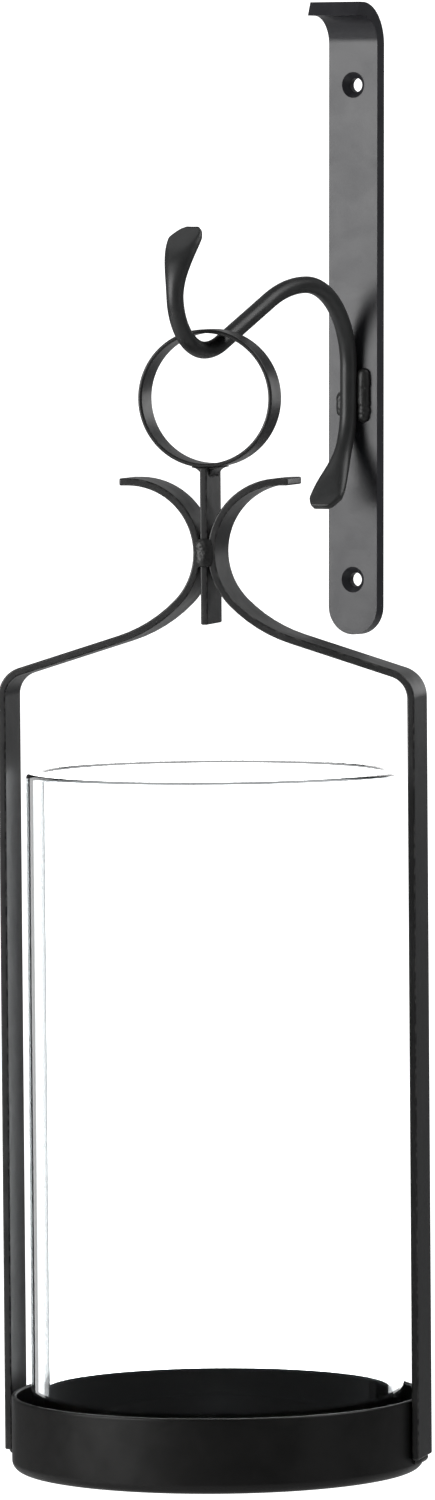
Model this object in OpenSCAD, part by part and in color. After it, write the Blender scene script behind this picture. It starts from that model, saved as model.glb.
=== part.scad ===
// Wall bracket with a hanging hurricane lantern, all in black iron and clear glass.
// The wall is the plane y = 0 and the front is -y. The origin is midway between the two
// screw holes, on the back of the wall plate.

/* [Wall plate] */
// Width of the flat bar that the wall plate is made of
plate_w = 20; // [18:0.5:26]
// Thickness of the wall plate
plate_t = 4.8; // [4:0.2:6]
// Distance between the two screw holes
hole_pitch = 176; // [160:2:200]
// Diameter of each screw hole
hole_d = 5; // [4:0.5:6]
// Diameter of the countersink at the front face
countersink_d = 9.2; // [8:0.2:10]
// From the lower hole to the round end of the plate
plate_tail = 19.6; // [16:0.2:26]
// From the upper hole to the top of the bent lip
lip_rise = 29.2; // [27:0.2:36]
// How far the tip of the lip stands out from the wall
lip_reach = 19.5; // [18:0.5:26]
// Inside radius of the bend between plate and lip
lip_bend_r = 10; // [6:0.5:10]

/* [Hook] */
// Diameter of the round bar
bar_d = 6; // [5:0.5:7]
// From the wall to the lantern's axis
lantern_reach = 102.5; // [100:0.5:120]
// Radius of the first bend, from the plate up over the crest
crest_r = 29.6; // [27:0.2:33]
// Fall of the arm from the level
arm_fall = 24.2; // [22:0.2:27]
// Radius of the bend from the crest into the arm
fall_r = 60.5; // [50:0.5:64]
// Radius of the bend from the arm into the low seat
seat_r = 26.5; // [24:0.5:30]
// Radius of the bend that rises at the front of the hook
rise_r = 19.6; // [18:0.2:22]
// Width of the hammered blade at each end of the bar
blade_w = 13; // [10:0.5:16]
// Thickness of the hammered blade
blade_t = 2.2; // [1.8:0.2:3]

/* [Lantern frame] */
// Outside diameter of the hanging ring
ring_d = 48; // [44:1:56]
// Width of the ring's strip
ring_w = 14; // [10:1:16]
// Thickness of the ring's strip
ring_t = 1.4; // [1.2:0.2:2]
// Width of the flat bar of the stem and straps
flat_w = 20; // [16:1:24]
// Thickness of the flat bar of the stem and straps
flat_t = 2.6; // [2:0.2:3]
// Turn of the lantern on the hook, seen from above
twist = 17; // [0:1:18]
// Lean of the hanging lantern from the plumb line
lean = 0.45; // [0:0.05:0.6]
// Radius of the straps' curl, on the middle of the bar
curl_r = 24.6; // [22:0.2:27]
// Radius of the sweep from the curl into the shoulder
sweep_r = 51.6; // [45:0.2:55]
// Fall of the shoulder from the level
shoulder_fall = 17.5; // [14:0.5:20]
// Radius of the bend from the shoulder into the leg
elbow_r = 9.2; // [7:0.2:12]

/* [Tray and glass] */
// Outside diameter of the tray
tray_d = 144; // [142:0.2:150]
// Height of the tray
tray_h = 26.2; // [20:0.2:30]
// Thickness of the tray's sheet
tray_t = 1.7; // [1.2:0.1:2]
// Outside diameter of the glass
glass_d = 130; // [110:1:130]
// Height of the glass
glass_h = 242; // [200:1:246]
// Thickness of the glass wall
glass_t = 4; // [3:0.5:5]

/* [Hidden] */
$fn = 72;
eps = 0.01;
// Facets of the largest round pieces
fine = 144;
// Turn between the points of a bent flat bar's outline
bend_step = 5;
// A length greater than that of any piece
beyond = 500;

// Wall plate
hole_z = hole_pitch / 2;
plate_bottom = -hole_z - plate_tail;
lip_top = hole_z + lip_rise;
bend_z = lip_top - plate_t - lip_bend_r;
countersink_depth = (countersink_d - hole_d) / 2;

// Hook: the bar's middle line, in the plane x = 0
bar_y = -plate_t - bar_d / 2;
seat_z = -4.9;
// From the lantern's axis to the lowest point of the seat, which is further out
seat_offset = 2.9;
seat_y = -lantern_reach - seat_offset;
arm_span = bar_y - crest_r - seat_y - (fall_r + seat_r) * sin(arm_fall);
arm_run = arm_span / cos(arm_fall);
arm_drop = (fall_r + seat_r) * (1 - cos(arm_fall)) + arm_run * sin(arm_fall);
rise_from_z = seat_z + arm_drop - crest_r;
plate_run = 13.7;
tail_from_z = rise_from_z - plate_run;
tail_r = 36;
tail_turn = 38;
tail_straight = 17;
tail_y = bar_y - tail_r * (1 - cos(tail_turn)) - tail_straight * sin(tail_turn);
tail_z = tail_from_z - tail_r * sin(tail_turn) - tail_straight * cos(tail_turn);
tip_r = 30.7;
tip_turn = 47;
// The bar's middle line from tail to tip, as lengths and bends
hook_steps = [
    [0, tail_straight], [tail_r, tail_turn], [0, plate_run], [crest_r, 90], [fall_r, arm_fall],
    [0, arm_run], [-seat_r, arm_fall], [-rise_r, 90], [-tip_r, tip_turn]
];
// The blades: length over which the bar flattens, length of the end corners, width left at the
// very end and squareness of the section, where 1 is an ellipse
blade_l = 24;
blade_corner = 4;
blade_end = 0.55;
blade_squareness = 0.6;
// The sweep: points around the bar, and the largest step and turn along it
bar_sides = 16;
sweep_step = 2.4;
sweep_turn = 8;

// Hook welds
bead_r = 2.8;
bead_x = bar_d / 2 + 1.8;
bead_y = -plate_t - 0.6;
bead_top = -12;
bead_bottom = -32;
bead_turn = 15;

// Lantern frame, about the lantern's own axis. It leans with its foot towards +x and the wall.
lean_heading = 31.5;
seat_clearance = 2.9;
ring_top = seat_z + bar_d / 2 + seat_clearance + ring_t;
ring_z = ring_top - ring_d / 2;
ring_bottom = ring_top - ring_d;
waist_z = -75;
waist_u = flat_t;
stem_bottom = -100;
// How far the middle of the stem's top end rises into the ring's strip before it is cut round
stem_overlap = 0.5;
horn_run = 3;
// Turn of the curl below the waist, where the sweep begins
curl_turn = 45;
shoulder_turn = 90 - shoulder_fall;
leg_u = tray_d / 2 + flat_t / 2;
shoulder_run = (leg_u - waist_u - curl_r * (1 - cos(curl_turn))
    - sweep_r * (cos(curl_turn) - cos(shoulder_turn))
    - elbow_r * (1 - cos(shoulder_turn))) / sin(shoulder_turn);
elbow_bottom = waist_z - curl_r * sin(curl_turn)
    - sweep_r * (sin(shoulder_turn) - sin(curl_turn))
    - shoulder_run * cos(shoulder_turn) - elbow_r * sin(shoulder_turn);
foot_z = -389.5;
leg_h = elbow_bottom - foot_z;

// Tray and glass
tray_bottom = -395;
tray_corner = 3.5;
floor_z = tray_bottom + tray_t;

// Places the lantern's own axes: u from strap to strap, v through the ring. It leans about its top.
module lantern_axes() {
    translate([0, -lantern_reach, ring_top]) rotate([0, 0, lean_heading]) rotate([0, -lean, 0])
        rotate([0, 0, twist - lean_heading]) translate([0, 0, -ring_top]) children();
}

// Turns a sketch so that its x and y lie along y and z, and its depth along x
module hook_plane(y, z) {
    translate([0, y, z]) rotate([90, 0, 90]) children();
}

// Unit vector to the left of a heading
function side_of(heading) = [-sin(heading), cos(heading)];

// Places along one step of a bar's middle line, each [place, heading, distance so far].
// A step is [radius, turn] where it bends, left if the radius is positive, or [0, length].
// Places are at most max_run and max_turn apart.
function step_places(step, from, max_run, max_turn) =
    let (
        bends = step[0] != 0,
        l = bends ? abs(step[0]) * step[1] * PI / 180 : step[1],
        n = ceil(max(l / max_run, bends ? step[1] / max_turn : 0))
    )
    [for (i = [1:n])
        let (
            h = from[1],
            turned = h + sign(step[0]) * step[1] * i / n,
            moved = bends
                ? step[0] * [sin(turned) - sin(h), cos(h) - cos(turned)]
                : l * i / n * [cos(h), sin(h)]
        )
        [from[0] + moved, bends ? turned : h, from[2] + l * i / n]];

// Places along all the steps
function places(steps, i, from, max_run, max_turn) =
    i == len(steps) ? []
    : let (these = step_places(steps[i], from, max_run, max_turn))
        concat(these, places(steps, i + 1, these[len(these) - 1], max_run, max_turn));

// Outline of a flat bar of thickness t, bent along its steps, seen on its edge
function bar_outline(steps, start, t) =
    let (line = concat([start], places(steps, 0, start, beyond, bend_step)))
    concat(
        [for (p = line) p[0] + t / 2 * side_of(p[1])],
        [for (i = [len(line) - 1:-1:0]) line[i][0] - t / 2 * side_of(line[i][1])]
    );

// The plate seen from the front, with its round lower end, through its whole depth
module plate_front() {
    translate([0, 0, plate_bottom + plate_w / 2]) rotate([90, 0, 0]) {
        cylinder(d = plate_w, h = lip_reach);
        translate([-plate_w / 2, 0, 0]) cube([plate_w, beyond, lip_reach]);
    }
}

module wall_plate() {
    start = [[-plate_t / 2, plate_bottom], 90, 0];
    steps = [
        [0, bend_z - plate_bottom], [lip_bend_r + plate_t / 2, 90],
        [0, lip_reach - plate_t - lip_bend_r]
    ];
    color("#2b2b2d") difference() {
        intersection() {
            hook_plane(0, 0) linear_extrude(plate_w, center = true)
                polygon(bar_outline(steps, start, plate_t));
            plate_front();
        }
        for (side = [-1, 1]) translate([0, 0, side * hole_z]) rotate([90, 0, 0]) {
            translate([0, 0, -eps]) cylinder(d = hole_d, h = plate_t + 2 * eps);
            translate([0, 0, plate_t - countersink_depth])
                cylinder(d1 = hole_d, d2 = countersink_d + 2 * eps, h = countersink_depth + eps);
        }
    }
}

// Eases from 0 to 1
function ease(x) = x <= 0 ? 0 : x >= 1 ? 1 : x * x * (3 - 2 * x);

// Width and thickness of the bar at a distance from its nearer end
function bar_width(d) =
    d < blade_corner ? blade_w * (blade_end + (1 - blade_end) * sin(90 * d / blade_corner))
    : bar_d + (blade_w - bar_d) * (1 - ease((d - blade_corner) / (blade_l - blade_corner)));
function bar_thickness(d) = blade_t + (bar_d - blade_t) * ease(d / blade_l);

// A signed power, which squares up a round section as the power falls below 1
function signed_pow(x, p) = sign(x) * pow(abs(x), p);

// Ring of points around the bar at a place, flatter-sided on the blades
function bar_ring(place, total) =
    let (
        d = min(place[2], total - place[2]),
        squareness = blade_squareness + (1 - blade_squareness) * ease(d / blade_l),
        out = side_of(place[1])
    )
    [for (k = [0:bar_sides - 1])
        let (
            a = 360 * k / bar_sides,
            across = bar_width(d) / 2 * signed_pow(cos(a), squareness),
            lift = bar_thickness(d) / 2 * signed_pow(sin(a), squareness)
        )
        [across, place[0][0] + lift * out[0], place[0][1] + lift * out[1]]];

// One forged bar from tail to tip, swept along its middle line
module hook() {
    start = [[tail_y, tail_z], 90 - tail_turn, 0];
    line = concat([start], places(hook_steps, 0, start, sweep_step, sweep_turn));
    total = line[len(line) - 1][2];
    rings = [for (place = line) bar_ring(place, total)];
    last = len(line) - 1;
    sides = [for (i = [0:last - 1], k = [0:bar_sides - 1])
        let (k2 = (k + 1) % bar_sides)
        each [
            [i * bar_sides + k, (i + 1) * bar_sides + k2, (i + 1) * bar_sides + k],
            [i * bar_sides + k, i * bar_sides + k2, (i + 1) * bar_sides + k2]
        ]];
    ends = [
        [for (k = [bar_sides - 1:-1:0]) k],
        [for (k = [0:bar_sides - 1]) last * bar_sides + k]
    ];
    color("#333335") polyhedron([for (r = rings) each r], concat(sides, ends));
}

// The stretch of round bar that the welds lie along
module bar_on_plate() {
    hook_plane(bar_y, tail_from_z) {
        rotate([-90, 0, 0]) cylinder(d = bar_d, h = plate_run);
        translate([-tail_r, 0, 0]) rotate([0, 0, -bead_turn]) rotate_extrude(angle = bead_turn)
            translate([tail_r, 0]) circle(d = bar_d);
    }
}

// A bead of weld along each side of the bar, on the plate
module hook_welds() {
    color("#1d1d1e") for (side = [-1, 1]) difference() {
        translate([side * bead_x, bead_y, 0]) {
            translate([0, 0, bead_bottom + bead_r])
                cylinder(r = bead_r, h = bead_top - bead_bottom - 2 * bead_r);
            for (z = [bead_bottom + bead_r, bead_top - bead_r]) translate([0, 0, z]) sphere(r = bead_r);
        }
        translate([-plate_w / 2, -plate_t, bead_bottom - 1])
            cube([plate_w, 2 * plate_t, bead_top - bead_bottom + 2]);
        bar_on_plate();
    }
}

module ring() {
    color("#5a5a5c") lantern_axes() translate([0, 0, ring_z]) rotate([90, 0, 0])
        rotate_extrude() translate([(ring_d - ring_t) / 2, 0]) square([ring_t, ring_w], center = true);
}

// A hollow fillet on each side of the stem, under the ring
module ring_welds() {
    fillet = 3.8;
    fillet_facets = 180;
    ring_facets = 360;
    color("#3a3a3c") lantern_axes() for (side = [-1, 1]) difference() {
        translate([side > 0 ? flat_t / 2 : -flat_t / 2 - fillet, -ring_w / 2, ring_bottom - fillet])
            cube([fillet, ring_w, 2 * fillet]);
        translate([side * (flat_t / 2 + fillet), ring_w, ring_bottom - fillet])
            rotate([90, 0, 0]) cylinder(r = fillet, h = 2 * ring_w, $fn = fillet_facets);
        translate([0, ring_w, ring_z]) rotate([90, 0, 0])
            cylinder(d = ring_d, h = 2 * ring_w, $fn = ring_facets);
    }
}

module stem() {
    color("#4a4a4c") lantern_axes() difference() {
        translate([-flat_t / 2, -flat_w / 2, stem_bottom])
            cube([flat_t, flat_w, ring_bottom - stem_bottom + stem_overlap]);
        translate([0, flat_w, ring_z]) rotate([90, 0, 0]) cylinder(d = ring_d, h = 2 * flat_w);
    }
}

// The strap on the +u side: a horn above the waist, then the shoulder and the leg
module strap() {
    start = [[waist_u + curl_r + horn_run, waist_z + curl_r], 180, 0];
    steps = [
        [0, horn_run], [curl_r, 90 + curl_turn], [sweep_r, shoulder_turn - curl_turn],
        [0, shoulder_run], [-elbow_r, shoulder_turn], [0, leg_h]
    ];
    rotate([90, 0, 0]) linear_extrude(flat_w, center = true)
        polygon(bar_outline(steps, start, flat_t));
}

module right_strap() {
    color("#2f2f31") lantern_axes() strap();
}

module left_strap() {
    color("#39393c") lantern_axes() mirror([1, 0, 0]) strap();
}

// A flat lump of weld over the edges of straps and stem, at the front and at the back
module waist_welds() {
    lump_r = 4.3;
    lump_h = 5;
    proud = 1.6;
    color("#1d1d1e") lantern_axes() for (side = [-1, 1]) intersection() {
        translate([0, side * (flat_w / 2 + proud - lump_r), waist_z]) {
            translate([0, 0, -lump_h / 2]) cylinder(r = lump_r, h = lump_h);
            for (end = [-1, 1]) translate([0, 0, end * lump_h / 2]) sphere(r = lump_r);
        }
        translate([-lump_r, side > 0 ? flat_w / 2 : -flat_w / 2 - proud, waist_z - lump_h])
            cube([2 * lump_r, proud, 2 * lump_h]);
    }
}

// Half of a round-cornered section, out to a radius and up from a floor
module pan_section(r, corner, floor_h, h) {
    translate([0, floor_h]) square([r - corner, h - floor_h]);
    translate([0, floor_h + corner]) square([r, h - floor_h - corner]);
    translate([r - corner, floor_h + corner]) circle(r = corner);
}

module tray() {
    rim_h = tray_h - tray_t / 2;
    color("#262628") lantern_axes() translate([0, 0, tray_bottom]) rotate_extrude($fn = fine) {
        difference() {
            pan_section(tray_d / 2, tray_corner, 0, rim_h);
            pan_section(tray_d / 2 - tray_t, tray_corner - tray_t, tray_t, tray_h + 1);
        }
        translate([tray_d / 2 - tray_t / 2, rim_h]) circle(d = tray_t);
    }
}

// A short bead under the foot of the strap on the +u side, against the tray
module foot_weld() {
    bead_r = 1.8;
    bead_l = 13;
    bead_u = tray_d / 2 + 0.6;
    bead_z = foot_z - 0.4;
    straight = bead_l - 2 * bead_r;
    difference() {
        translate([bead_u, straight / 2, bead_z]) {
            rotate([90, 0, 0]) cylinder(r = bead_r, h = straight);
            for (v = [0, -straight]) translate([0, v, 0]) sphere(r = bead_r);
        }
        translate([0, 0, tray_bottom]) cylinder(d = tray_d, h = tray_h, $fn = fine);
        translate([tray_d / 2 - flat_t, -flat_w / 2, foot_z]) cube([3 * flat_t, flat_w, tray_h]);
    }
}

module right_foot_weld() {
    color("#1d1d1e") lantern_axes() foot_weld();
}

module left_foot_weld() {
    color("#1d1d1e") lantern_axes() mirror([1, 0, 0]) foot_weld();
}

module glass_cylinder() {
    color("#cfe0e8", 0.35) lantern_axes() translate([0, 0, floor_z]) rotate_extrude($fn = fine) {
        translate([glass_d / 2 - glass_t, 0]) square([glass_t, glass_h - glass_t / 2]);
        translate([glass_d / 2 - glass_t / 2, glass_h - glass_t / 2]) circle(d = glass_t);
    }
}

wall_plate();
hook();
hook_welds();
ring();
ring_welds();
stem();
left_strap();
right_strap();
waist_welds();
tray();
left_foot_weld();
right_foot_weld();
glass_cylinder();
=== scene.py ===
"""Looks for a wall bracket with a hanging hurricane lantern.

Everything is in metres, in the part's own frame: the wall is the plane y = 0, the front is -y and
+z is up. The bracket's pieces ride on "bracket", the lantern's on "lantern" and the glass on "glass".
"""

import math
import random
from math import cos, pi, radians, sin

import bmesh
import bpy
from mathutils import Matrix, Vector, noise


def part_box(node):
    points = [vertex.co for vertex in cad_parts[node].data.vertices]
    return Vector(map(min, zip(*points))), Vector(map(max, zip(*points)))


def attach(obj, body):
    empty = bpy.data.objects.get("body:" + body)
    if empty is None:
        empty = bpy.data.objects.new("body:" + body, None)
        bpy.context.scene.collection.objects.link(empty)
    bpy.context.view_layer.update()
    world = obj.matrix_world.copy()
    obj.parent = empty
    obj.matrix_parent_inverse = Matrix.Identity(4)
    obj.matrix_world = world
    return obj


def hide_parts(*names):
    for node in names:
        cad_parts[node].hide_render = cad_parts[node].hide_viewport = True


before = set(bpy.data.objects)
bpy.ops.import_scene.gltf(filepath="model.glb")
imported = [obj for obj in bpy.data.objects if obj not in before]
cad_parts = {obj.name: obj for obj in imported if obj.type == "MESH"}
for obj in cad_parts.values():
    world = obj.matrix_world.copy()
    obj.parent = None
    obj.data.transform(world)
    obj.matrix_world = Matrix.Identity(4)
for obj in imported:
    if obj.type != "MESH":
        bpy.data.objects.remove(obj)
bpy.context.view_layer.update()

# ---------------------------------------------------------------- sizes
MM = 0.001

# The lantern's turn on the hook: its axis u runs from strap to strap, v through the ring.
# It leans a little about its top, with its foot towards a heading to the right and the wall.
REACH = 102.5 * MM
RING_TOP = 2.4 * MM
TWIST = radians(17)
LEAN = radians(0.45)
LEAN_HEADING = radians(31.5)

# Hook: a round bar along a middle line in the plane x = 0
BAR_R = 3 * MM
SEAT_OFFSET = 2.9 * MM
SEAT_Z = -4.9 * MM
CREST_R = 29.6 * MM
ARM_FALL = radians(24.2)
FALL_R = 60.5 * MM
SEAT_R = 26.5 * MM
RISE_R = 19.6 * MM
TIP_R = 30.7 * MM
TIP_TURN = radians(47)
PLATE_RUN = 13.7 * MM
TAIL_R = 36 * MM
TAIL_TURN = radians(38)
TAIL_STRAIGHT = 17 * MM
HOOK_STEP = 0.8 * MM
HOOK_SIDES = 48

# Hammered blades at the bar's ends
BLADE_R = 6.5 * MM
BLADE_HALF_T = 1.1 * MM
BLADE_L = 27 * MM
BLADE_NECK = 5 * MM
# Corners of the blades, each (length along the bar, half width left at the very end)
TIP_RIGHT = (3.8 * MM, 4.3 * MM)
TIP_LEFT = (4.9 * MM, 0.9 * MM)
TAIL_RIGHT = (4.4 * MM, 2.2 * MM)
TAIL_LEFT = (3.6 * MM, 4.0 * MM)

# Rounding of the flat bars' edges
PLATE_EDGE = 0.55 * MM
FLAT_EDGE = 0.6 * MM
STRIP_EDGE = 0.55 * MM
# The plate's lip: the stretch at its end that is hammered, and how far its upper edge goes back
LIP_END = 1.5 * MM
LIP_SLOPE = 1.7 * MM

# Ring, tray and glass
RING_D = 48 * MM
RING_W = 14 * MM
RING_T = 1.4 * MM
# A hair under the CAD's tray, whose facets cut inside its circle
TRAY_D = 143.96 * MM
TRAY_H = 26.2 * MM
TRAY_BOTTOM = -395 * MM
TRAY_T = 1.7 * MM
TRAY_CORNER = 3.5 * MM
# From the tray's side to the one round face in the middle of its floor
TRAY_MARGIN = 12 * MM
# A narrow flat band that keeps the shading of the corner off the floor
TRAY_BAND = 1 * MM
GLASS_D = 130 * MM
GLASS_H = 242 * MM
GLASS_T = 4 * MM
GLASS_EDGE = 1.7 * MM
LATHE_STEPS = 192

# Points this close to each other are one, and faces this nearly level with each other are one
MERGE = 0.002 * MM
LEVEL = radians(0.6)

# ---------------------------------------------------------------- places
# The beads' backs lie on the plate's front
bead_low, bead_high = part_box("hook_welds")
PLATE_T = -bead_high.y
LANTERN = (
    Matrix.Translation((0, -REACH, RING_TOP)) @ Matrix.Rotation(LEAN_HEADING, 4, "Z")
    @ Matrix.Rotation(-LEAN, 4, "Y") @ Matrix.Rotation(TWIST - LEAN_HEADING, 4, "Z")
    @ Matrix.Translation((0, 0, -RING_TOP))
)


# ---------------------------------------------------------------- meshes
def piece(name, bm, body, material, nodes):
    """A new smooth piece from a bmesh. It stands for CAD nodes and rides on their body."""
    mesh = bpy.data.meshes.new(name)
    bmesh.ops.recalc_face_normals(bm, faces=bm.faces)
    bm.to_mesh(mesh)
    bm.free()
    mesh.materials.append(material)
    mesh.shade_smooth()
    made = bpy.data.objects.new(name, mesh)
    bpy.context.scene.collection.objects.link(made)
    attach(made, body)
    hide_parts(*nodes)
    return made


def evened(made):
    """Shades the broad faces flat beside their rounded edges."""
    modifier = made.modifiers.new("evened", "WEIGHTED_NORMAL")
    modifier.weight = 60
    return made


def skin(rings, closed=False):
    """Quads between rings of points. Closed, it joins the last ring to the first. Open, it is capped."""
    bm = bmesh.new()
    rows = [[bm.verts.new(point) for point in ring] for ring in rings]
    following = rows[1:] + rows[:1] if closed else rows[1:]
    for row, after in zip(rows, following):
        for k in range(len(row)):
            bm.faces.new((row[k - 1], row[k], after[k], after[k - 1]))
    if not closed:
        bm.faces.new(rows[0])
        bm.faces.new(rows[-1])
    return bm


def lathed(profile, place, closed):
    """A skin turned about the z axis from a profile of (radius, height) points."""
    turns = [2 * pi * k / LATHE_STEPS for k in range(LATHE_STEPS)]
    return skin([[place @ Vector((r * cos(a), r * sin(a), z)) for a in turns] for r, z in profile], closed)


def arc(centre, radius, start, end, steps):
    """Points on an arc, with angles in degrees."""
    turns = [radians(start + (end - start) * i / steps) for i in range(steps + 1)]
    return [(centre[0] + radius * cos(a), centre[1] + radius * sin(a)) for a in turns]


def rounded_box(low, high, radius, steps=4):
    """A closed outline of a rectangle with round corners."""
    (x0, y0), (x1, y1) = low, high
    r = radius
    return (
        arc((x1 - r, y0 + r), r, -90, 0, steps) + arc((x1 - r, y1 - r), r, 0, 90, steps)
        + arc((x0 + r, y1 - r), r, 90, 180, steps) + arc((x0 + r, y0 + r), r, 180, 270, steps)
    )


def copied(node):
    """A copy of a CAD node's mesh."""
    bm = bmesh.new()
    bm.from_mesh(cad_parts[node].data)
    bmesh.ops.remove_doubles(bm, verts=bm.verts, dist=MERGE)
    return bm


def softened(node, radius, sharp=radians(28)):
    """A copy of a CAD node's mesh with whole flat faces and round edges, which an attribute marks for a
    painted edge highlight.
    """
    bm = copied(node)
    bmesh.ops.dissolve_limit(bm, angle_limit=LEVEL, verts=bm.verts, edges=bm.edges)
    edges = [e for e in bm.edges if len(e.link_faces) == 2 and e.calc_face_angle() > sharp]
    rounding = bmesh.ops.bevel(
        bm, geom=edges, offset=radius, offset_type="OFFSET", segments=4, profile=0.5,
        affect="EDGES", clamp_overlap=True,
    )
    rounding_faces = set(rounding["faces"])
    # Marks the rounded edges, where a paler colour is painted as an edge highlight
    edge_highlight = bm.verts.layers.float.new("edge_highlight")
    for vert in bm.verts:
        vert[edge_highlight] = 1.0 if rounding_faces.issuperset(vert.link_faces) else 0.0
    return bm


def ease(x):
    """Eases from 0 to 1."""
    x = min(max(x, 0.0), 1.0)
    return x * x * (3 - 2 * x)


def bent_path(start, heading, steps, gap):
    """Places along lengths (0, length) and bends (radius, turn), each (point, heading, distance)."""
    places = [(start, heading, 0.0)]
    for radius, amount in steps:
        point, heading, so_far = places[-1]
        length = abs(radius) * amount if radius else amount
        count = math.ceil(length / gap)
        for i in range(1, count + 1):
            part = i / count
            turned = heading
            moved = Vector((cos(heading), sin(heading))) * length * part
            if radius:
                turned = heading + math.copysign(amount, radius) * part
                moved = radius * Vector((sin(turned) - sin(heading), cos(heading) - cos(turned)))
            places.append((point + moved, turned, so_far + length * part))
    return places


# ---------------------------------------------------------------- hook
def hook_line():
    """The bar's middle line from tail to tip, as (y, z) places."""
    bar_y = -PLATE_T - BAR_R
    seat_y = -REACH - SEAT_OFFSET
    span = bar_y - CREST_R - seat_y - (FALL_R + SEAT_R) * sin(ARM_FALL)
    run = span / cos(ARM_FALL)
    drop = (FALL_R + SEAT_R) * (1 - cos(ARM_FALL)) + run * sin(ARM_FALL)
    tail_from_z = SEAT_Z + drop - CREST_R - PLATE_RUN
    start = Vector((
        bar_y - TAIL_R * (1 - cos(TAIL_TURN)) - TAIL_STRAIGHT * sin(TAIL_TURN),
        tail_from_z - TAIL_R * sin(TAIL_TURN) - TAIL_STRAIGHT * cos(TAIL_TURN),
    ))
    steps = [
        (0, TAIL_STRAIGHT), (TAIL_R, TAIL_TURN), (0, PLATE_RUN), (CREST_R, pi / 2), (FALL_R, ARM_FALL),
        (0, run), (-SEAT_R, ARM_FALL), (-RISE_R, pi / 2), (-TIP_R, TIP_TURN),
    ]
    return bent_path(start, pi / 2 - TAIL_TURN, steps, HOOK_STEP)


def blade_side(d, corner_l, end_x):
    """How far one side of a blade is from its middle, at a distance from the bar's end."""
    spread = BAR_R + (BLADE_R - BAR_R) * (1 - ease((d - BLADE_NECK) / (BLADE_L - BLADE_NECK)))
    corner = math.sqrt(max(0.0, 1 - (1 - min(d / corner_l, 1.0)) ** 2))
    return end_x + (spread - end_x) * (0.45 * corner + 0.55 * min(d / corner_l, 1.0))


def flattened(y, limit, sharpness=7):
    """A height on the round bar, pressed to within a limit."""
    part = abs(y) / limit
    return y / (1 + part ** sharpness) ** (1 / sharpness)


def bar_ring(place, total):
    """Points around the bar. Its two ends are hammered into blades with uneven corners."""
    point, heading, so_far = place
    at_tip = so_far > total / 2
    d = total - so_far if at_tip else so_far
    right = blade_side(d, *(TIP_RIGHT if at_tip else TAIL_RIGHT))
    left = blade_side(d, *(TIP_LEFT if at_tip else TAIL_LEFT))
    limit = BLADE_HALF_T + 2 * BAR_R * ease(d / BLADE_L) ** 1.2
    out = Vector((0, -sin(heading), cos(heading)))
    ring = []
    for k in range(HOOK_SIDES):
        a = 2 * pi * k / HOOK_SIDES
        across = (right if cos(a) > 0 else left) * cos(a)
        at = Vector((across, point.x, point.y))
        dent = noise.noise(at * 210) * 0.16 * MM * (1 - ease(d / BLADE_L))
        uneven = 1 + 0.012 * noise.noise(at * 90 + Vector((3, 1, 7)))
        ring.append(at + out * (flattened(BAR_R * sin(a), limit) * uneven + dent))
    return ring


def forged_hook():
    """One bar swept along its middle line. An attribute marks the blades' edges for a painted highlight."""
    places = hook_line()
    total = places[-1][2]
    bm = skin([bar_ring(place, total) for place in places])
    # Marks the blades' edges, where a paler colour is painted as an edge highlight
    edge_highlight = bm.verts.layers.float.new("edge_highlight")
    ends = (places[0][0], places[-1][0])
    for vert in bm.verts:
        near_end = min((Vector((vert.co.y, vert.co.z)) - end).length for end in ends)
        side = abs(vert.co.x) / BLADE_R
        vert[edge_highlight] = ease((side - 0.75) * 4) * (1 - ease(near_end / BLADE_L))
    return piece("forged_hook", bm, "bracket", hook_black, ["hook"])


# ---------------------------------------------------------------- flat bars and ring
def hammer_lip(bm):
    """Slopes the end of the plate's lip, whose upper edge is hammered back."""
    reach = max(-vert.co.y for vert in bm.verts)
    top = max(vert.co.z for vert in bm.verts)
    for vert in bm.verts:
        if -vert.co.y > reach - LIP_END:
            height = min(max((vert.co.z - top + PLATE_T) / PLATE_T, 0.0), 1.0)
            vert.co.y += LIP_SLOPE * height


def flat_bars():
    """The plate, the stem and the straps, with their edges rounded."""
    for node, body, slot_name, material, radius in (
        ("wall_plate", "bracket", "plate_black", plate_black, PLATE_EDGE),
        ("stem", "lantern", "lantern_black", strap_black, FLAT_EDGE),
        ("left_strap", "lantern", "lantern_black", strap_black, FLAT_EDGE),
        ("right_strap", "lantern", "lantern_black", strap_black, FLAT_EDGE),
    ):
        bm = softened(node, radius)
        if node == "wall_plate":
            hammer_lip(bm)
        evened(piece(node + "_bar", bm, body, material, [node]))


def hanging_ring():
    """A rolled strip, turned about the lantern's v axis."""
    outer = RING_D / 2
    place = LANTERN @ Matrix.Translation((0, 0, RING_TOP - outer)) @ Matrix.Rotation(pi / 2, 4, "X")
    strip = rounded_box((outer - RING_T, -RING_W / 2), (outer, RING_W / 2), STRIP_EDGE)
    bm = lathed(strip, place, closed=True)
    return evened(piece("rolled_ring", bm, "lantern", strap_black, ["ring"]))


# ---------------------------------------------------------------- tray and glass
def pressed_tray():
    """One pressed pan with a round lower corner and a round rim."""
    outer = TRAY_D / 2
    bottom = TRAY_BOTTOM
    rim_z = bottom + TRAY_H - TRAY_T / 2
    inner = outer - TRAY_T
    inner_corner = TRAY_CORNER - TRAY_T
    profile = [(outer - TRAY_MARGIN, bottom), (outer - TRAY_CORNER - TRAY_BAND, bottom)]
    profile += arc((outer - TRAY_CORNER, bottom + TRAY_CORNER), TRAY_CORNER, -90, 0, 10)
    profile += arc((outer - TRAY_T / 2, rim_z), TRAY_T / 2, 0, 180, 10)
    profile += arc((inner - inner_corner, bottom + TRAY_CORNER), inner_corner, 0, -90, 8)
    profile += [(inner - inner_corner - TRAY_BAND, bottom + TRAY_T), (outer - TRAY_MARGIN, bottom + TRAY_T)]
    bm = lathed(profile, LANTERN, closed=False)
    return evened(piece("pressed_tray", bm, "lantern", tray_black, ["tray"]))


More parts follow.
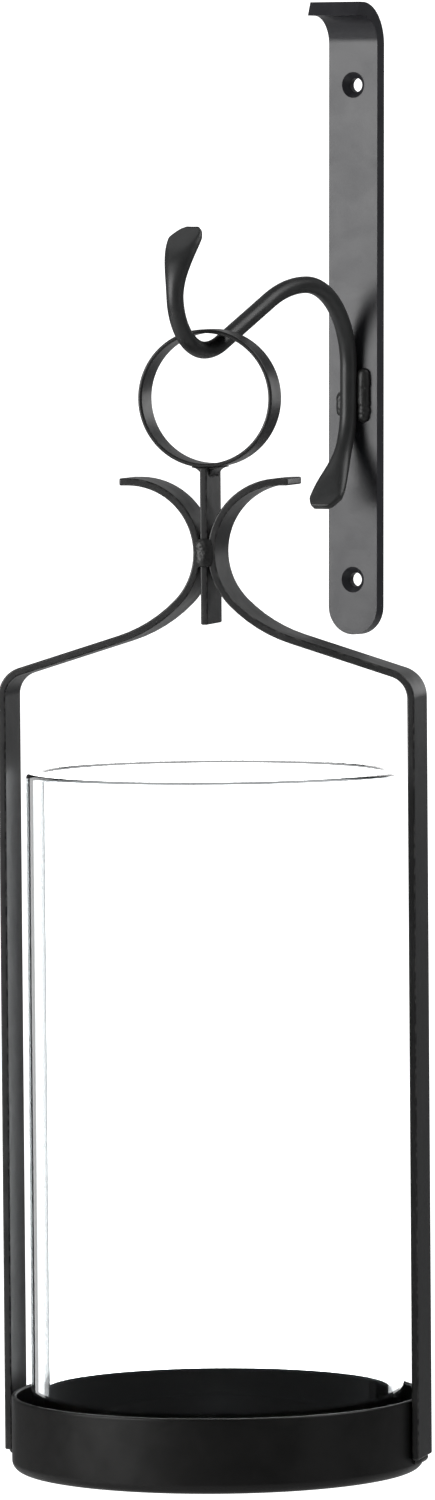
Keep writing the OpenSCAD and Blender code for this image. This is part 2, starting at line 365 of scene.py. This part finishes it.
def glass_tube():
    """An open cylinder with fire-polished ends."""
    outer = GLASS_D / 2
    bottom = TRAY_BOTTOM + TRAY_T
    wall = rounded_box((outer - GLASS_T, bottom), (outer, bottom + GLASS_H), GLASS_EDGE, steps=8)
    bm = lathed(wall, LANTERN, closed=True)
    return evened(piece("glass_tube", bm, "glass", clear_glass, ["glass_cylinder"]))


# ---------------------------------------------------------------- welds
def run_together(name, bm, voxel, smoothing):
    """One closed skin around everything in a bmesh, softened."""
    rough_mesh = bpy.data.meshes.new(name + "_rough")
    bm.to_mesh(rough_mesh)
    bm.free()
    rough = bpy.data.objects.new(name + "_rough", rough_mesh)
    bpy.context.scene.collection.objects.link(rough)
    remesh = rough.modifiers.new("run_together", "REMESH")
    remesh.mode = "VOXEL"
    remesh.voxel_size = voxel
    smooth = rough.modifiers.new("smooth", "SMOOTH")
    smooth.factor = 0.5
    smooth.iterations = smoothing
    fused = rough.evaluated_get(bpy.context.evaluated_depsgraph_get()).to_mesh()
    bm = bmesh.new()
    bm.from_mesh(fused)
    bpy.data.objects.remove(rough)
    bm.normal_update()
    return bm


def weld(name, bm, body, nodes, voxel=0.3 * MM, smoothing=4, roughness=0.14 * MM):
    """Weld metal run together from a bmesh and left rough."""
    bm = run_together(name, bm, voxel, smoothing)
    for vert in bm.verts:
        coarse = noise.noise(vert.co * 450)
        fine = noise.noise(vert.co * 1400 + Vector((5, 2, 9)))
        vert.co += vert.normal * (coarse * 0.7 + fine * 0.5 - 0.35) * roughness
    return piece(name, bm, body, weld_black, nodes)


def drops_of(drops):
    """Drops of weld metal, each (centre, radii)."""
    bm = bmesh.new()
    for centre, radii in drops:
        place = Matrix.Translation(centre) @ Matrix.Diagonal((*radii, 1))
        bmesh.ops.create_icosphere(bm, subdivisions=3, radius=1, matrix=place)
    return bm


def hook_beads():
    """A full bead down the right side of the bar, on the plate, and a short one down the left."""
    chance = random.Random(4)
    drops = []
    # Each (side of the bar, lower end, upper end, size)
    full = (1, bead_low.z, bead_high.z, 1.0)
    short = (-1, bead_low.z + 1.5 * MM, -20 * MM, 0.82)
    for side, from_z, to_z, size in (full, short):
        z = from_z + 2.3 * MM
        while z < to_z - 2 * MM:
            r = chance.uniform(2.15, 2.45) * MM * size
            x = side * (BAR_R + chance.uniform(1.5, 1.8) * MM * size)
            drops.append((Vector((x, -PLATE_T - 0.3 * MM, z)), (r * 1.1, r * 1.05, r)))
            z += chance.uniform(0.8, 1.2) * MM
    return weld("hook_beads", drops_of(drops), "bracket", ["hook_welds"], smoothing=8)


def other_welds():
    """Rough copies of the fillets under the ring, the waist's lumps and the beads at the feet."""
    for name, node, voxel, roughness in (
        ("ring_fillets", "ring_welds", 0.22 * MM, 0.14 * MM),
        ("waist_lumps", "waist_welds", 0.25 * MM, 0.22 * MM),
        ("left_foot_bead", "left_foot_weld", 0.22 * MM, 0.14 * MM),
        ("right_foot_bead", "right_foot_weld", 0.22 * MM, 0.14 * MM),
    ):
        weld(name, copied(node), "lantern", [node], voxel=voxel, roughness=roughness)


# ---------------------------------------------------------------- materials
def shader(name):
    """A new material, its nodes, its links and its shader."""
    material = bpy.data.materials.new(name)
    material.use_nodes = True
    nodes = material.node_tree.nodes
    return material, nodes, material.node_tree.links, nodes["Principled BSDF"]


def noise_node(nodes, links, coordinates, scale, detail, distortion=0.0):
    """A noise texture over the object's own coordinates."""
    texture = nodes.new("ShaderNodeTexNoise")
    texture.inputs["Scale"].default_value = scale
    texture.inputs["Detail"].default_value = detail
    texture.inputs["Distortion"].default_value = distortion
    links.new(coordinates, texture.inputs["Vector"])
    return texture.outputs["Fac"]


def ranged(nodes, links, value, low, high, from_low=0.3, from_high=0.7):
    """A value spread from low to high."""
    spread = nodes.new("ShaderNodeMapRange")
    spread.inputs["From Min"].default_value = from_low
    spread.inputs["From Max"].default_value = from_high
    spread.inputs["To Min"].default_value = low
    spread.inputs["To Max"].default_value = high
    links.new(value, spread.inputs["Value"])
    return spread.outputs["Result"]


def mixed(nodes, links, factor, a, b):
    """A colour between two, each an output or a constant."""
    mix = nodes.new("ShaderNodeMix")
    mix.data_type = "RGBA"
    links.new(factor, mix.inputs["Factor"])
    for name, colour in (("A", a), ("B", b)):
        socket = next(s for s in mix.inputs if s.name == name and s.type == "RGBA")
        if isinstance(colour, bpy.types.NodeSocket):
            links.new(colour, socket)
        else:
            socket.default_value = (*colour, 1)
    return next(s for s in mix.outputs if s.type == "RGBA")


def black_paint(name, dark, light, gloss, grain=0.06, swell=0.25, shine=0.5):
    """Satin black paint: faint mottling, fine grain, slow unevenness, and rounded edges painted paler in
    patches as a painted highlight.
    """
    # Paler colour painted over the rounded edges: a painted edge highlight
    edge_highlight_colour = (0.09, 0.088, 0.085)
    material, nodes, links, surface = shader(name)
    coordinates = nodes.new("ShaderNodeTexCoord").outputs["Object"]
    mottle = noise_node(nodes, links, coordinates, 95, 5, 0.4)
    fine = noise_node(nodes, links, coordinates, 1500, 3)
    slow = noise_node(nodes, links, coordinates, 60, 3)
    highlight_patches = noise_node(nodes, links, coordinates, 420, 4)

    # The edge mask, broken into patches by noise, sets where the painted highlight goes
    edge_highlight = nodes.new("ShaderNodeAttribute")
    edge_highlight.attribute_name = "edge_highlight"
    highlight_amount = nodes.new("ShaderNodeMath")
    highlight_amount.operation = "MULTIPLY"
    links.new(edge_highlight.outputs["Fac"], highlight_amount.inputs[0])
    links.new(ranged(nodes, links, highlight_patches, 0.0, 0.8, 0.45, 0.62), highlight_amount.inputs[1])

    paint = mixed(nodes, links, ranged(nodes, links, mottle, 0.0, 1.0), dark, light)
    colour = mixed(nodes, links, highlight_amount.outputs["Value"], paint, edge_highlight_colour)
    links.new(colour, surface.inputs["Base Color"])
    links.new(ranged(nodes, links, mottle, *gloss), surface.inputs["Roughness"])
    surface.inputs["Specular IOR Level"].default_value = shine

    swelling = nodes.new("ShaderNodeBump")
    swelling.inputs["Strength"].default_value = swell
    swelling.inputs["Distance"].default_value = 0.6 * MM
    links.new(slow, swelling.inputs["Height"])
    graining = nodes.new("ShaderNodeBump")
    graining.inputs["Strength"].default_value = grain
    graining.inputs["Distance"].default_value = 0.1 * MM
    links.new(fine, graining.inputs["Height"])
    links.new(swelling.outputs["Normal"], graining.inputs["Normal"])
    links.new(graining.outputs["Normal"], surface.inputs["Normal"])
    return material


def glass_material():
    """Clear glass with the faintest smears, which darkens to blue where it is seen along its wall."""
    material, nodes, links, surface = shader("clear_glass")
    coordinates = nodes.new("ShaderNodeTexCoord").outputs["Object"]
    surface.inputs["Transmission Weight"].default_value = 1.0
    surface.inputs["IOR"].default_value = 1.5
    smear = noise_node(nodes, links, coordinates, 35, 5, 1.2)
    tint = ranged(nodes, links, smear, 0.0, 1.0)
    colour = mixed(nodes, links, tint, (0.994, 0.997, 0.998), (0.998, 0.999, 1.0))
    links.new(colour, surface.inputs["Base Color"])
    links.new(ranged(nodes, links, smear, 0.0, 0.008, 0.5, 0.8), surface.inputs["Roughness"])
    absorption = nodes.new("ShaderNodeVolumeAbsorption")
    absorption.inputs["Color"].default_value = (0.0, 0.25, 0.35, 1)
    absorption.inputs["Density"].default_value = 14
    links.new(absorption.outputs["Volume"], nodes["Material Output"].inputs["Volume"])
    return material


def floor_material():
    """A plain pale floor, faintly mottled."""
    material, nodes, links, surface = shader("floor_pale")
    coordinates = nodes.new("ShaderNodeTexCoord").outputs["Object"]
    mottle = noise_node(nodes, links, coordinates, 3, 4)
    shade = ranged(nodes, links, mottle, 0.0, 1.0)
    colour = mixed(nodes, links, shade, (0.80, 0.80, 0.80), (0.84, 0.84, 0.835))
    links.new(colour, surface.inputs["Base Color"])
    links.new(ranged(nodes, links, mottle, 0.55, 0.7), surface.inputs["Roughness"])
    return material


plate_black = black_paint(
    "plate_black", (0.022, 0.022, 0.026), (0.032, 0.032, 0.037), (0.30, 0.38), swell=0.18,
)
hook_black = black_paint(
    "hook_black", (0.026, 0.027, 0.027), (0.038, 0.039, 0.039), (0.34, 0.44), swell=0.3,
)
strap_black = black_paint(
    "strap_black", (0.019, 0.019, 0.019), (0.028, 0.028, 0.028), (0.30, 0.40), swell=0.25,
)
tray_black = black_paint(
    "tray_black", (0.006, 0.0058, 0.0055), (0.009, 0.0086, 0.0082), (0.30, 0.40), swell=0.2, shine=0.33,
)
weld_black = black_paint(
    "weld_black", (0.014, 0.014, 0.014), (0.03, 0.03, 0.029), (0.34, 0.5), grain=0.2, swell=0.5,
)
clear_glass = glass_material()

# ---------------------------------------------------------------- pieces
forged_hook()
flat_bars()
hanging_ring()
pressed_tray()
glass = glass_tube()
hook_beads()
other_welds()

# ---------------------------------------------------------------- camera
VIEW_TURN = radians(31.55)
VIEW_PITCH = radians(3.34)
VIEW_DISTANCE = 3.2251
VIEW_CENTRE = Vector((0, -0.09693, -0.14426))
LENS = 222.1
right_of_view = Vector((cos(VIEW_TURN), sin(VIEW_TURN), 0))
level_towards = Vector((-sin(VIEW_TURN), cos(VIEW_TURN), 0))
towards = level_towards * cos(VIEW_PITCH) - Vector((0, 0, sin(VIEW_PITCH)))


def add_camera():
    """A long lens to the right of the front, looking slightly down."""
    data = bpy.data.cameras.new("camera")
    data.lens = LENS
    data.sensor_width = 36
    data.clip_end = 60
    camera = bpy.data.objects.new("camera", data)
    camera.location = VIEW_CENTRE - towards * VIEW_DISTANCE
    camera.rotation_euler = towards.to_track_quat("-Z", "Y").to_euler()
    bpy.context.scene.collection.objects.link(camera)
    bpy.context.scene.camera = camera


# ---------------------------------------------------------------- studio
# Radiance of the white ground behind the object
WHITE = 1.45
FLOOR_R = 1.45
FLOOR_DROP = 0.25


def softbox(name, bearing, lift, distance, width, height, radiance, only=None):
    """A large soft light that faces the object. Bearing is in degrees to the right of the camera's side.

    With a collection given as only, it is seen by that collection alone, through the glass too.
    """
    direction = (
        -level_towards * cos(radians(bearing)) * cos(radians(lift))
        + right_of_view * sin(radians(bearing)) * cos(radians(lift))
        + Vector((0, 0, sin(radians(lift))))
    )
    data = bpy.data.lights.new(name, "AREA")
    data.shape = "RECTANGLE"
    data.size = width
    data.size_y = height
    data.energy = radiance * pi * width * height
    light = bpy.data.objects.new(name, data)
    light.location = VIEW_CENTRE + direction * distance
    light.rotation_euler = (-direction).to_track_quat("-Z", "Y").to_euler()
    light.visible_camera = False
    light.visible_transmission = only is not None
    if only:
        light.light_linking.receiver_collection = only
    bpy.context.scene.collection.objects.link(light)


def studio_world():
    """White where it is seen before any reflection, and dim where it only lights the object."""
    world = bpy.data.worlds.new("studio")
    world.use_nodes = True
    nodes, links = world.node_tree.nodes, world.node_tree.links
    nodes.clear()
    path = nodes.new("ShaderNodeLightPath")
    bounces = nodes.new("ShaderNodeMath")
    bounces.operation = "ADD"
    links.new(path.outputs["Diffuse Depth"], bounces.inputs[0])
    links.new(path.outputs["Glossy Depth"], bounces.inputs[1])
    seen = nodes.new("ShaderNodeMath")
    seen.operation = "LESS_THAN"
    links.new(bounces.outputs["Value"], seen.inputs[0])
    seen.inputs[1].default_value = 0.5
    dim = nodes.new("ShaderNodeBackground")
    dim.inputs["Color"].default_value = (0.95, 0.97, 1.0, 1)
    dim.inputs["Strength"].default_value = 0.1
    white = nodes.new("ShaderNodeBackground")
    white.inputs["Color"].default_value = (1, 1, 1, 1)
    white.inputs["Strength"].default_value = WHITE
    mix = nodes.new("ShaderNodeMixShader")
    links.new(seen.outputs["Value"], mix.inputs["Fac"])
    links.new(dim.outputs["Background"], mix.inputs[1])
    links.new(white.outputs["Background"], mix.inputs[2])
    output = nodes.new("ShaderNodeOutputWorld")
    links.new(mix.outputs["Shader"], output.inputs["Surface"])
    bpy.context.scene.world = world


def add_floor():
    """A pale round floor below the object."""
    bm = bmesh.new()
    centre = Matrix.Translation((0, -REACH, TRAY_BOTTOM - FLOOR_DROP))
    bmesh.ops.create_circle(bm, cap_ends=True, radius=FLOOR_R, segments=128, matrix=centre)
    mesh = bpy.data.meshes.new("floor")
    bm.to_mesh(mesh)
    bm.free()
    mesh.materials.append(floor_material())
    floor = bpy.data.objects.new("floor", mesh)
    bpy.context.scene.collection.objects.link(floor)


add_camera()
# The white ground once more, for the reflections in the glass alone
glass_alone = bpy.data.collections.new("glass_alone")
glass_alone.objects.link(glass)
for number, bearing in enumerate((180, 160, -160)):
    softbox("glass_surround_%d" % number, bearing, 0, 2.2, 2.2, 2.6, WHITE, only=glass_alone)
# Lights for the whole object
softbox("key", -63, 9, 1.7, 1.3, 0.8, 6.2)
softbox("fill_right", 62, 8, 1.9, 0.8, 1.4, 0.4)
softbox("behind", 180, 0, 1.8, 1.3, 2.2, 0.3)
softbox("right_above", 90, 47, 1.8, 1.2, 1.2, 3.0)
softbox("above_left", -120, 58, 1.8, 1.2, 1.2, 0.6)
softbox("upper_behind", 151, 6.5, 1.8, 0.9, 0.4, 1.0)
softbox("low_left", -75, -38, 1.6, 1.0, 0.8, 1.6)
studio_world()
add_floor()
bpy.context.scene.view_settings.view_transform = "Standard"
bpy.context.scene.view_settings.look = "None"
